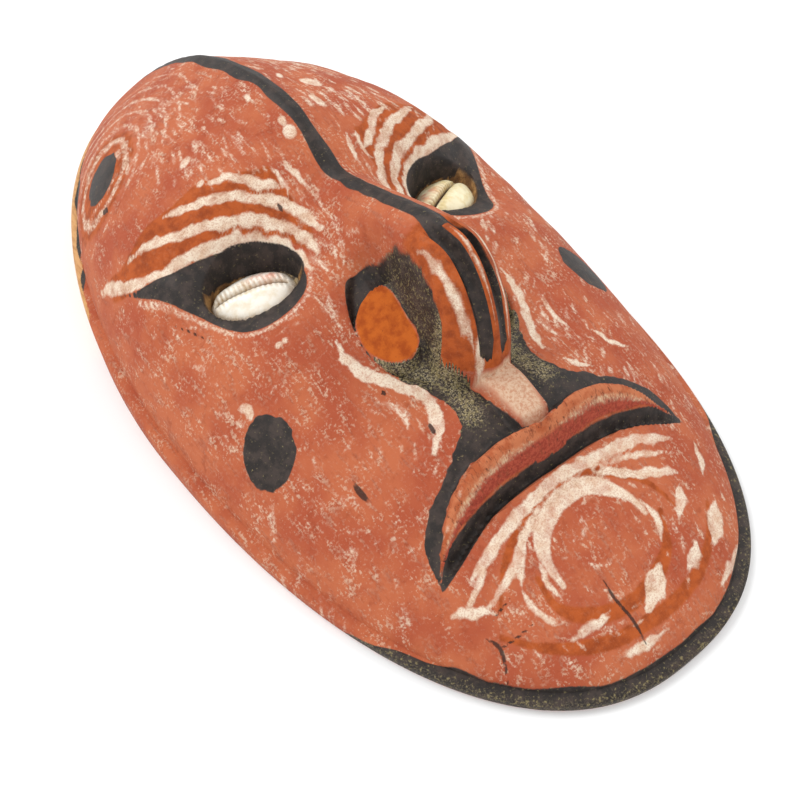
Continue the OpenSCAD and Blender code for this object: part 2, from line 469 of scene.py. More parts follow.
@dataclass(frozen=True)
class Dashes:
    """Many short dabs of the brush, scattered along a field of directions."""

    seed: int
    count: int
    centre: tuple[float, float]
    size: tuple[float, float]
    lean: float
    sweep: float
    ring: tuple[float, float] | None = None
    length: tuple[float, float] = (2.5, 6.0)
    width: tuple[float, float] = (0.7, 1.7)

    def at(self, x: np.ndarray, y: np.ndarray) -> np.ndarray:
        """How deep each place lies inside the nearest dab, in millimetres."""
        rng = np.random.default_rng(self.seed)
        best = np.full(x.shape, -9.0)
        for _ in range(self.count):
            rad, turn = math.sqrt(rng.uniform()), rng.uniform(0, 2 * math.pi)
            cx = self.centre[0] + self.size[0] * rad * math.cos(turn)
            cy = self.centre[1] + self.size[1] * rad * math.sin(turn)
            if self.ring:
                lean = math.atan2(cy - self.ring[1], cx - self.ring[0]) + math.pi / 2 + rng.normal(0, 0.12)
            else:
                bend = self.sweep * (cx - self.centre[0]) / self.size[0]
                lean = math.radians(self.lean + bend + rng.normal(0, 9))
            half = rng.uniform(*self.length) / 2
            wide = rng.uniform(*self.width) / 2
            reach = half + 4
            near = (np.abs(x - cx) < reach) & (np.abs(y - cy) < reach)
            if not near.any():
                continue
            dx, dy = x[near] - cx, y[near] - cy
            u = dx * math.cos(lean) + dy * math.sin(lean)
            v = -dx * math.sin(lean) + dy * math.cos(lean)
            body = wide * (1 - 0.5 * (np.clip(u / half, -1, 1) + 0.3) ** 2)
            deep = body - np.hypot(np.maximum(np.abs(u) - half, 0), v)
            best[near] = np.maximum(best[near], deep)
        return best


Mark = Stroke | Patch | Dot | Dashes


def deepest(x: np.ndarray, y: np.ndarray, marks: Sequence[Mark]) -> np.ndarray:
    """How deep each place lies inside any of some marks, in millimetres and at least -9."""
    best = np.full(x.shape, -9.0)
    for mark in marks:
        best = np.maximum(best, mark.at(x, y))
    return best


@dataclass(frozen=True)
class PaintPlan:
    """All marks on the face. Those of one side are drawn for the left and mirrored."""

    brow_arcs: tuple[Stroke, ...] = (
        Stroke(((-59, 38), (-57.6, 32), (-55.2, 25), (-52.2, 20), (-48.8, 16.8), (-43.8, 13.8), (-39.2, 12.1),
            (-34.2, 10.2), (-30, 9.1), (-26.2, 7.3), (-23, 4.8), (-20.4, 1.9), (-19, -1.4), (-18, -5.6),
            (-18.6, -10)), 2.5, 0.08),
        Stroke(((-51.6, 28.4), (-47.5, 25.3), (-44.2, 22.1), (-41.2, 19.1), (-37.1, 16.7), (-32.9, 14.4),
            (-28.8, 12.1), (-24.6, 10.3), (-21.6, 8.0), (-18.3, 4.6), (-16.2, 1.2), (-15, -3), (-14.8, -8)),
            2.5, 0.12),
        Stroke(((-40.2, 25.6), (-37.5, 23.8), (-35, 21.8), (-30.8, 19.2), (-26.7, 17), (-22.5, 14.2), (-19.2,
            11.3), (-15.8, 8.2), (-13.3, 3.8), (-11.8, 0.2), (-11.3, -5)), 2.5, 0.12),
        Stroke(((-28, 22.4), (-25, 21), (-22.4, 19.5), (-20, 17.1), (-17.9, 14.4), (-15.4, 12.1), (-13, 10)),
            2.4, 0.2),
        Stroke(((-13.2, 15.6), (-12.6, 12.5), (-12.2, 9.4), (-13, 7.6)), 1.3, 0.3),
        Stroke(((-10.6, 14.6), (-9.2, 12), (-8.4, 9), (-8.4, 6)), 1.3, 0.3),
    )
    brow_ground: Patch = Patch(((-57, 34), (-58.5, 27), (-50, 16), (-40, 9.8), (-28, 7), (-19, 1), (-15, -6),
        (-12.5, -1), (-12.6, 6), (-13, 15), (-16.2, 16.8), (-20, 19.3), (-24.2, 21.6), (-30, 24.8), (-36.7,
        25.8), (-41.2, 27.4), (-45.4, 29), (-49.6, 29), (-53.8, 30.4)))
    eye_leaf: Patch = Patch(((-57.4, 27), (-54.6, 18), (-52.1, 12.3), (-50, 7.9), (-47.9, 3.7), (-45.8, 0),
        (-43.8, -4.2), (-42, -8.6), (-40.2, -12), (-36, -15), (-30, -16), (-24.5, -14.8), (-20.8, -11.2),
        (-19.2, -6), (-19.6, -2), (-20.6, 0.8), (-22.6, 3.4), (-26, 6.1), (-29.6, 8.1), (-33.6, 9.2), (-37,
        10.1), (-40.6, 11.4), (-43.6, 12.7), (-48.4, 15.2), (-52, 18), (-55.2, 22)))
    wing_hollow: Patch = Patch(((-21, -35.8), (-20.3, -31.7), (-19.2, -27.5), (-17.2, -22.8), (-14.6, -19.4),
        (-11.6, -18.8), (-8.9, -19.8), (-7.3, -22.6), (-6.8, -26), (-7.1, -33), (-7.6, -38), (-8.2, -44),
        (-8.4, -49), (-10, -51.8), (-12.4, -51.4), (-17.1, -46), (-19.8, -41)))
    wing_disc: Patch = Patch(((-20.4, -36), (-19.4, -30.6), (-16.8, -27), (-13, -26.2), (-10, -27.4), (-9,
        -31), (-9.6, -37), (-10.4, -43), (-13.8, -44.6), (-18, -41.8)))
    moustache: Patch = Patch(((-38.4, -87.4), (-37.8, -82), (-35.8, -78), (-31.5, -74.5), (-26, -72), (-21.5,
        -69.5), (-17, -66.7), (-14, -63), (-13.3, -59.5), (-13.7, -56), (-15.5, -51), (-18.5, -46), (-16,
        -44.5), (-11, -49), (-6.5, -53), (-6, -60), (-5, -68), (-3.8, -75.5), (-10, -74.2), (-18, -73), (-25,
        -75), (-31, -79), (-36, -84)))
    mouth_band: Patch = Patch(((-38.8, -88.4), (-34.5, -83.9), (-30, -82.4), (-24, -81), (-17, -80), (-8,
        -79.8), (0, -80), (0, -82.6), (-8, -82.6), (-18.8, -83), (-26.4, -85.2), (-32.6, -87.2)))
    lip: Patch = Patch(((-36.5, -85), (-31, -79.3), (-25.7, -75.6), (-20, -73.6), (-14.6, -73.4), (-9, -74.6),
        (-3, -75.8), (0, -75.6), (0, -80.2), (-8, -79.8), (-17, -79.8), (-24, -81), (-30, -82.2)))
    lip_crease: Stroke = Stroke(((-35.4, -84), (-30, -81.2), (-25.7, -79.5), (-20, -78), (-14, -77.4), (-7,
        -77.7), (0, -78.3)), 1.5, 0.3)
    philtrum: Patch = Patch(((-5.7, -57), (-5.6, -62), (-5, -68), (-4.3, -73), (-2.6, -75.4), (0, -76), (2.6,
        -75.4), (4.3, -73), (5, -68), (5.6, -62), (5.7, -57)))
    nose_stripes: tuple[Stroke, ...] = (
        Stroke(((-6.7, -38.5), (-6.7, -44), (-6.4, -48), (-6.3, -51), (-6, -53.5), (-5.4, -56), (-4.8,
            -57.6)), 1.5, 0.3),
        Stroke(((0, -41), (-0.1, -46), (0, -52), (0.1, -58)), 0.8, 0.3),
    )
    nose_blob: Dot = Dot(-4.0, -57.9, 1.2, 1.1)
    # Olive-grey paths on the charcoal: the lit lower lip of the wing hollow, running into the moustache, and
    # the lit slope up to the nose. These are painted highlight together with rubbed paint.
    rubbed_and_lit_path: Points = ((-19.5, -40), (-17, -44.5), (-13, -48.5), (-9.5, -52), (-9.5, -58), (-11, -64))
    worn_ring: Points = ((-7.8, -27), (-8.4, -34), (-9.4, -42), (-11, -49))
    temple_dot: Dot = Dot(-42, 65, 5.4, 8.4, -25)
    cheek_dot: Dot = Dot(-51.3, -38.3, 6.2, 8.0, -8)
    cheek_arcs: tuple[Stroke, ...] = (
        Stroke(((-25, -30), (-25.8, -35), (-24, -41), (-21.3, -44.4), (-19.2, -48), (-16.8, -51.4), (-16.1,
            -55.3), (-17.4, -58.8), (-20, -63), (-23.6, -65.5)), 3.2, 0.2),
        Stroke(((-25.7, -47.6), (-24, -50.4), (-22.9, -54), (-24.3, -57.4)), 2.6, 0.3),
        Stroke(((-24.5, -12), (-23, -17), (-22.6, -23), (-23.6, -29)), 1.2, 0.4),
    )
    right_cheek: tuple[Stroke, ...] = (
        Stroke(((23.6, -34), (23.2, -40), (21.6, -45), (19.4, -49.4), (17.4, -54.6), (16.3, -58.4)), 2.3,
            0.2),
        Stroke(((18.8, -63.4), (21, -66), (24.4, -68.2)), 1.8, 0.3),
        Stroke(((28, -46), (27, -51), (28.4, -56)), 1.5, 0.3),
        Stroke(((34, -58), (37, -63), (41, -66)), 1.7, 0.3),
    )
    nose_lines: tuple[Stroke, ...] = (
        Stroke(((-10, 22), (-8.4, 10), (-8, 0), (-9.5, -9), (-12.5, -15.5), (-17.5, -19)), 1.1, 0.3),
        Stroke(((-15, 1), (-13.4, -6), (-12.4, -12), (-14.5, -16)), 1.5, 0.3),
        Stroke(((-11.7, 12), (-10.4, 6), (-10.2, -3), (-11.2, -9)), 0.9, 0.3),
        Stroke(((-17.6, -3), (-16.5, -9), (-15.6, -15)), 2.2, 0.3),
        Stroke(((-19.3, -17), (-21.6, -23), (-22.6, -30)), 1.4, 0.3),
    )
    temple_rings: tuple[tuple[float, float, float, float], ...] = ((3.2, 2.2, 0, 360), (7.6, 1.4, -110, 130),
        (11.8, 1.5, -60, 150), (16.2, 1.5, -70, 140), (20.6, 1.2, -60, 110), (25.2, 1.0, -50, 80))
    chin_ring: Stroke = Stroke(((-16.8, -103.5), (-16.4, -97), (-13.4, -92.4), (-8.4, -89.9), (-3, -89), (2.4,
        -89.7), (6.6, -93), (9.8, -97.4), (10.6, -101.5)), 4.4, 0.3)
    chin_bands: tuple[Stroke, ...] = (
        Stroke(((-33, -91.2), (-28, -89.6), (-22, -88), (-15, -86.4), (-8, -85.4), (-1, -84.9), (5, -85.5),
            (12, -86.2), (19, -86.8), (25, -88.6), (31, -91)), 3.0, 0.12),
        Stroke(((-9, -87.6), (-14.4, -89.4), (-20, -92), (-26, -95.4), (-33.4, -97)), 2.0, 0.25),
        Stroke(((-28, -90.4), (-31.5, -92.4), (-37.4, -94.2)), 1.6, 0.3),
        Stroke(((-17.4, -96), (-19.4, -101), (-18.6, -106)), 1.3, 0.3),
        Stroke(((9, -88), (15, -89.2), (22, -91.4), (28.6, -94)), 1.5, 0.3),
        Stroke(((11.6, -99), (12.4, -104), (9.6, -108.4)), 1.8, 0.35),
        Stroke(((6, -88.2), (10.4, -90.7), (14.6, -93.3), (20, -95.6), (26, -98.4)), 2.4, 0.2),
        Stroke(((-17, -89.6), (-20.6, -93.4), (-24.3, -98)), 2.1, 0.2),
        Stroke(((-40, -93.5), (-36, -95.4), (-32.6, -98.5)), 2.2, 0.3),
        Stroke(((-24.5, -98), (-24.9, -104), (-22, -109)), 1.3, 0.3),
        Stroke(((17.4, -106.5), (20.4, -104.5), (23.6, -101.3)), 2.6, 0.3),
        Stroke(((-3.6, -117.4), (0.8, -115.4), (5.4, -111.8)), 4.6, 0.35),
        Stroke(((21.7, -115), (25.4, -112.4), (29.6, -108.2)), 4.4, 0.35),
        Stroke(((11, -116.6), (14.6, -115), (17.4, -112.6)), 3.2, 0.35),
        Stroke(((-22.4, -112.4), (-17, -113.2), (-11.2, -113.4)), 2.2, 0.35),
        Stroke(((-14.6, -121.2), (-9.4, -122.4), (-3, -122.8)), 1.9, 0.35),
        Stroke(((16, -122.4), (22, -121), (29, -118)), 2.0, 0.35),
        Stroke(((32.6, -101.5), (35.2, -98), (37, -94)), 1.8, 0.35),
    )
    chin_orange: tuple[Stroke, ...] = (
        Stroke(((-31, -99), (-25, -93), (-17, -89), (-9, -87.6), (-1, -87.2), (6, -88.4), (12, -92), (17,
            -97.6), (19, -104)), 2.6, 0.3),
        Stroke(((-20.4, -99), (-20.6, -106), (-15.6, -111.4), (-7, -114.4), (2, -113.6), (10, -110), (14.6,
            -103)), 3.4, 0.3),
        Stroke(((-34, -103), (-27, -111), (-16, -117.4), (-4, -119.6), (9, -119), (20, -114.6), (28, -107)),
            3.0, 0.3),
    )
    blobs: tuple[Mark, ...] = (
        Dot(-28.2, 33.6, 1.9, 1.4, 30),
        Dot(-29, 24, 1.2, 1.0),
        Dot(-4, 19.4, 1.8, 2.1),
        Dot(-5.6, 37.2, 0.8, 1.7, -15),
        Dot(-3.8, 23, 1.0, 1.5),
        Stroke(((-51.4, -25.4), (-50, -27.4), (-50.6, -29.8)), 2.0),
        Stroke(((-53.4, -27), (-52.6, -29.6)), 1.0),
        Dot(-36.4, -21.6, 1.0, 0.8),
        Dot(-34.6, -21.8, 0.8, 0.8),
        Dot(9.6, 27, 1.4, 3.2, 10),
        Dot(14.5, 38, 2.2, 3.4, 30),
        Dot(5.6, 52, 0.9, 2.0),
        Dot(8.4, 44, 1.0, 2.6, -20),
    )
    dabs: tuple[Dashes, ...] = (
        Dashes(21, 120, (-20, 44), (19, 24), 84, 22),
        Dashes(22, 34, (-42, 66), (17, 24), 0, 0, (-42.0, 65.0), (3.0, 8.0)),
        Dashes(23, 60, (-18, 86), (17, 18), 60, 30, None, (1.5, 4.5), (0.5, 1.2)),
        Dashes(24, 110, (21, 44), (19, 26), 100, 22, None, (2.0, 6.5), (0.7, 2.2)),
        Dashes(25, 120, (14, 84), (20, 24), 120, 30, None, (1.5, 5.5), (0.5, 1.6)),
        Dashes(26, 46, (-56, 0), (7, 40), 108, 14, None, (1.5, 4.0), (0.5, 1.3)),
        Dashes(27, 34, (-12, 4), (6, 22), 84, 10, None, (2.0, 5.5), (0.5, 1.0)),
        Dashes(28, 110, (-34, -48), (20, 34), 0, 0, (-36.0, -55.0), (1.0, 4.0), (0.4, 1.1)),
        Dashes(29, 90, (0, -104), (38, 20), 0, 0, (-2.3, -102.5), (1.5, 5.0), (0.5, 1.4)),
        Dashes(30, 40, (-54, -66), (12, 26), 62, 10, None, (2.0, 6.0), (0.5, 1.2)),
        Dashes(31, 190, (42, -36), (22, 60), 64, 20, None, (1.5, 6.0), (0.5, 1.8)),
        Dashes(32, 34, (25, -50), (9, 22), 0, 0, (36.0, -55.0), (1.5, 4.0), (0.5, 1.2)),
    )
    cracks: tuple[Stroke, ...] = (
        Stroke(((-8.3, -107.5), (-8.6, -112), (-7.9, -117), (-8.4, -123)), 0.75, 0.3),
        Stroke(((-36.8, -101), (-35.4, -104.6), (-37.5, -110)), 0.75, 0.3),
        Stroke(((-35.4, -104.6), (-31, -105.2), (-27, -105.3)), 0.55, 0.3),
        Stroke(((-40.8, -57.5), (-40.9, -61), (-40.3, -64.3)), 1.3, 0.4),
        Stroke(((-16.2, 8), (-15.9, 5.8)), 0.9, 0.3),
        Stroke(((-52.5, 4.5), (-49.5, -1.5), (-47.5, -6.2)), 0.6, 0.4),
        Stroke(((-23.9, -46.6), (-23.2, -46.7)), 1.5, 0.2),
        Stroke(((-19.8, -59.4), (-20.5, -62.2)), 1.0, 0.2),
        Stroke(((-47.6, 53.2), (-47.4, 50)), 1.7, 0.4),
        Stroke(((-33.5, -99.4), (-28, -98.6)), 0.5, 0.4),
    )

    def rings(self, x: np.ndarray, y: np.ndarray) -> np.ndarray:
        """Scuffed arcs round the temple spot."""
        best = np.full(x.shape, -9.0)
        gap = -self.temple_dot.at(x, y)
        turn = np.degrees(np.arctan2(y - self.temple_dot.y, x - self.temple_dot.x))
        for far, width, low, high in self.temple_rings:
            inside = np.minimum(turn - low, high - turn) if high - low < 360 else np.full(x.shape, 90.0)
            deep = width / 2 * ease(inside / 40) - np.abs(gap - far)
            best = np.maximum(best, np.where(inside > 0, deep, -9.0))
        return best

    def fields(self, x: np.ndarray, y: np.ndarray, z: np.ndarray, edge: np.ndarray, nose: Nose,
               eye: EyeField) -> dict[str, np.ndarray]:
        """Works out how deep each place lies inside each kind of paint.

        Args:
            x: distance from the middle, below zero on the left.
            y: place along the face.
            z: height over the rim plane.
            edge: distance in from the outline.
            nose: the nose that the face carries.
            eye: the eye hollow of the face.

        Returns:
            One array for each attribute of the paint, in millimetres.
        """
        left = -np.abs(x)
        wobble_x = x + 0.35 * Ripple(41, 6).at(x, y) + 0.2 * Ripple(42, 2.6).at(x, y)
        wobble_y = y + 0.35 * Ripple(43, 6).at(x, y) + 0.2 * Ripple(44, 2.6).at(x, y)
        sx, sy = -np.abs(wobble_x), wobble_y
        crest = 2.3 + 0.5 * Ripple(45, 18).at(x, y) + 0.7 * ease((y - 20) / 30) - 1.2 * ease((8 - y) / 14)
        crest = np.where(y > -6, crest - np.abs(x - 0.5 * Ripple(46, 40).at(x, y)), -9.0)
        across = np.abs(x)
        on_nose = np.minimum.reduce([nose.half(y) + 0.6 + 4 * ease((-50 - y) / 4) - across, z - 37.6,
                                     -30 - y])
        reach = 2.2 + 1.9 * ease((-29 - y) / 14) + 0.25 * Ripple(49, 8).at(x, y)
        bridge = np.minimum.reduce([reach - across, 8 - y, z - 40])
        ridge = np.minimum.reduce([1.2 - across, (-39 - y) * 0.4, y + 60.2])
        hollow = np.minimum(self.wing_hollow.at(left, y), -self.wing_disc.at(left, y))
        band = -1.2 + 4.9 * ease((-68 - y - 2 * np.minimum(z, 4)) / 26) + 0.35 * Ripple(47, 14).at(x, y)
        top = 5.6 * ease((y - 26) / 50) * (1 + 0.4 * Ripple(48, 22).at(x, y))
        along, wide = eye.local(x, y)
        # The whole socket starts charcoal; above its floor the upper wall keeps this as painted shade.
        socket = 10 * (1 - np.hypot(along / (eye.socket_long + 0.7), wide / (eye.socket_wide + 0.5)))
        black = np.maximum.reduce([
            crest, socket, self.eye_leaf.at(left, y), hollow, self.moustache.at(sx,
                                                                                sy), self.mouth_band.at(left,
                                                                                                        y),
            self.temple_dot.at(sx, sy), self.cheek_dot.at(sx, sy),
            band + np.clip((y - 48 + 1.3 * z) * 0.5, 0, top) - edge,
        ])
        lip = self.lip.at(left, y)
        black = np.where(lip > 0, np.minimum(black, -lip), black)
        black = np.where(on_nose > 0, np.minimum(black, -on_nose), black)
        black = np.maximum(black, bridge)
        black = np.where(ridge > 0, np.minimum(black, -ridge), black)
        bar = np.minimum(self.philtrum.at(x, y), 37.8 - z)
        black = np.where(bar > -0.5, np.minimum(black, -bar), black)
        disc = self.wing_disc.at(left, y)
        black = np.where(disc > -0.3, np.minimum(black, -disc - 0.3), black)
        white = np.maximum.reduce([
            deepest(sx, sy, self.brow_arcs), deepest(wobble_x, wobble_y,
                                                     self.cheek_arcs[:1] + self.right_cheek),
            deepest(wobble_x, sy, self.chin_bands),
            self.chin_ring.at(x, y), deepest(x, y, self.blobs),
        ])
        white = np.maximum.reduce([white, self.nose_blob.at(x, y), deepest(sx, sy, self.nose_stripes)])
        faint = np.maximum.reduce([
            deepest(sx, sy, self.cheek_arcs[1:] + self.nose_lines), self.rings(sx, sy),
            deepest(x, y, self.dabs),
        ])
        rim_gap = np.abs(-self.eye_leaf.at(left, y) - 1.0)
        faint = np.maximum(faint, np.where(y < 18, 1.0 - rim_gap, -9.0) - 0.2)
        orange = np.maximum.reduce([
            self.brow_ground.at(left, y), deepest(x, y, self.chin_orange), lip,
            np.minimum(on_nose, (-33 - y) * 0.3),
            np.minimum(2.2 + self.temple_dot.at(sx, sy) + 3.4, 9.0) * 0.5,
        ])
        # The brown of the socket stays only on its floor and its lower wall, which face the light; the upper
        # wall keeps the charcoal as painted shade.
        socket = np.minimum(socket - 0.5, eye.floor_z + 3.4 - z + 20 * ease((3 - wide) / 6))
        # Olive-grey on the charcoal: rubbed paint along the chin edge, and painted highlight along the lit
        # lower lip of each wing hollow and the lit slope up to the nose.
        worn = np.exp(-((line_distance(left, y, curve(self.rubbed_and_lit_path))[0] / 4.2) ** 2))
        ring = line_distance(left, y, curve(self.worn_ring))[0]
        worn = np.maximum(worn, 0.5 * np.exp(-((ring / 2.6) ** 2)))
        worn = np.maximum(worn, 0.5 * ease((4.5 - edge) / 4) * ease((-60 - y) / 20))
        bare = np.minimum(2.2 - edge + 0.9 * Ripple(50, 16).at(x, y),
                          (y - 36 - 0.7 * z) * 0.2 - 2.2 * ease((x - 4) / 10))
        return {
            "worn": worn, "bare": bare, "black": black, "white": white, "faint": faint, "orange": orange,
            "lip": lip, "crease": self.lip_crease.at(left, y), "lip_low": self.lip_crease.below(left, y),
            "disc": disc, "crack": deepest(x, y, self.cracks),
            "bar": bar, "socket": socket,
        }


# ---------------------------------------------------------------------------------------------
# Meshes
# ---------------------------------------------------------------------------------------------


def deselect() -> None:
    """Leaves nothing selected."""
    for item in bpy.context.view_layer.objects:
        item.select_set(False)


def take(piece: bpy.types.Object) -> None:
    """Selects one piece alone and makes it the active one."""
    deselect()
    piece.select_set(True)
    bpy.context.view_layer.objects.active = piece


def active_mesh(name: str) -> bpy.types.Object:
    """Names the object that was just added and returns it."""
    piece = bpy.context.active_object
    piece.name = name
    piece.data.name = name
    return piece


def coordinates(piece: bpy.types.Object) -> np.ndarray:
    """Vertex places of a mesh, in metres."""
    co = np.empty(len(piece.data.vertices) * 3, np.float32)
    piece.data.vertices.foreach_get("co", co)
    return co.reshape(-1, 3).astype(float)


def place(piece: bpy.types.Object, co: np.ndarray) -> None:
    """Puts the vertices of a mesh at new places, in metres."""
    piece.data.vertices.foreach_set("co", co.astype(np.float32).ravel())
    piece.data.update()


def paint(piece: bpy.types.Object, name: str, values: np.ndarray) -> None:
    """Stores a value at every vertex for the materials to read."""
    layer = piece.data.attributes.new(name, "FLOAT", "POINT")
    layer.data.foreach_set("value", values.astype(np.float32))


def select_border(piece: bpy.types.Object) -> None:
    """Opens a mesh in edit mode with only its open edges selected."""
    take(piece)
    bpy.ops.object.mode_set(mode="EDIT")
    bpy.ops.mesh.select_mode(type="EDGE")
    bpy.ops.mesh.select_all(action="DESELECT")
    bpy.ops.mesh.select_non_manifold()


def seal_normals() -> None:
    """Turns the faces of the mesh in edit mode outwards and leaves edit mode."""
    bpy.ops.mesh.select_all(action="SELECT")
    bpy.ops.mesh.normals_make_consistent(inside=False)
    bpy.ops.object.mode_set(mode="OBJECT")


def grid(name: str, across: int, along: int) -> bpy.types.Object:
    """Adds a square grid from -1 to 1 with the given numbers of cells."""
    deselect()
    bpy.ops.mesh.primitive_grid_add(x_subdivisions=across, y_subdivisions=along, size=2)
    return active_mesh(name)


def to_disc(square: np.ndarray, gather: float) -> tuple[np.ndarray, np.ndarray]:
    """Turns places on a square into places on a round disc.

    Args:
        square: places from -1 to 1.
        gather: how much closer together the rows lie in the middle.

    Returns:
        The share of the radius and the angle.
    """
    u, v = (square[:, k] * (1 - gather + gather * square[:, k] ** 2) for k in (0, 1))
    x = u * np.sqrt(1 - v * v / 2)
    y = v * np.sqrt(1 - u * u / 2)
    return np.hypot(x, y), np.arctan2(y, x)


# ---------------------------------------------------------------------------------------------
# Finishes
# ---------------------------------------------------------------------------------------------


def tint(code: str) -> tuple[float, float, float, float]:
    """Turns a six-digit screen colour into the linear values that shaders take."""
    parts = [int(code[k:k + 2], 16) / 255 for k in (0, 2, 4)]
    return tuple(p / 12.92 if p <= 0.04045 else ((p + 0.055) / 1.055) ** 2.4 for p in parts) + (1.0,)


Socket = bpy.types.NodeSocket
Value = Socket | float


class Shader:
    """Short ways to lay out the nodes of one material."""

    def __init__(self, name: str) -> None:
        """Starts a material with one plain shader."""
        self.material = bpy.data.materials.new(name)
        self.material.use_nodes = True
        self.tree = self.material.node_tree
        self.surface = self.tree.nodes["Principled BSDF"]
        self.where = self.tree.nodes.new("ShaderNodeTexCoord").outputs["Object"]

    def plug(self, socket: Socket, value: Value) -> None:
        """Links a socket, or sets its number."""
        if isinstance(value, bpy.types.NodeSocket):
            self.tree.links.new(value, socket)
        else:
            socket.default_value = value

    def attribute(self, name: str) -> Socket:
        """Reads a value stored at the vertices."""
        node = self.tree.nodes.new("ShaderNodeAttribute")
        node.attribute_name = name
        return node.outputs["Fac"]

    def border(self, name: str, ragged: Socket, amount: float) -> Socket:
        """Reads how deep a place lies in a painted area, made uneven at the area's border."""
        return self.math("ADD", self.attribute(name), self.math("MULTIPLY", ragged, amount))

    def noise(self, size: float, detail: float = 3.0, rough: float = 0.55,
              stretch: tuple[float, float, float] = (1, 1, 1), shift: float = 0.0) -> Socket:
        """Cloudy noise.

        Args:
            size: size of its spots, in millimetres.
            detail: how many finer layers it gets.
            rough: how strong the finer layers are.
            stretch: how much longer the spots are along each axis.
            shift: where in the noise the piece lies.

        Returns:
            A value round 0.5.
        """
        mapping = self.tree.nodes.new("ShaderNodeMapping")
        mapping.inputs["Scale"].default_value = tuple(1000 / size / s for s in stretch)
        mapping.inputs["Location"].default_value = (shift, shift * 0.7, -shift)
        self.tree.links.new(self.where, mapping.inputs["Vector"])
        node = self.tree.nodes.new("ShaderNodeTexNoise")
        node.inputs["Scale"].default_value = 1.0
        node.inputs["Detail"].default_value = detail
        node.inputs["Roughness"].default_value = rough
        self.tree.links.new(mapping.outputs["Vector"], node.inputs["Vector"])
        return node.outputs["Fac"]

    def math(self, action: str, a: Value, b: Value = 0.0) -> Socket:
        """Calculates with one or two values."""
        node = self.tree.nodes.new("ShaderNodeMath")
        node.operation = action
        self.plug(node.inputs[0], a)
        self.plug(node.inputs[1], b)
        return node.outputs[0]

    def span(self, value: Value, low: float, high: float, start: float = 0.0, end: float = 1.0) -> Socket:
        """Smoothly turns the range from low to high into the range from start to end."""
        node = self.tree.nodes.new("ShaderNodeMapRange")
        node.interpolation_type = "SMOOTHSTEP"
        self.plug(node.inputs["Value"], value)
        for name, number in (("From Min", low), ("From Max", high), ("To Min", start), ("To Max", end)):
            node.inputs[name].default_value = number
        return node.outputs["Result"]

    def mix(self, share: Socket, a: Socket | str, b: Socket | str) -> Socket:
        """Blends two colours, each one a socket or a six-digit code."""
        node = self.tree.nodes.new("ShaderNodeMix")
        node.data_type = "RGBA"
        self.plug(node.inputs["Factor"], share)
        for name, colour in (("A", a), ("B", b)):
            socket = [s for s in node.inputs if s.name == name and s.type == "RGBA"][0]
            self.plug(socket, tint(colour) if isinstance(colour, str) else colour)
        return [s for s in node.outputs if s.type == "RGBA"][0]

    def bump(self, height: Value, depth: float, under: Socket | None = None) -> Socket:
        """Raises the surface.

        Args:
            height: the relief, from 0 to 1.
            depth: how high a relief of 1 stands, in millimetres.
            under: the relief that this one lies on.

        Returns:
            The turned normal.
        """
        node = self.tree.nodes.new("ShaderNodeBump")
        node.inputs["Strength"].default_value = 1.0
        node.inputs["Distance"].default_value = depth * MM
        self.plug(node.inputs["Height"], height)
        if under:
            self.tree.links.new(under, node.inputs["Normal"])
        return node.outputs["Normal"]

    def finish(self, colour: Socket, rough: Value, normal: Socket | None = None) -> bpy.types.Material:
        """Plugs the colour, roughness and relief in."""
        self.plug(self.surface.inputs["Base Color"], colour)
        self.plug(self.surface.inputs["Roughness"], rough)
        if normal:
            self.plug(self.surface.inputs["Normal"], normal)
        return self.material


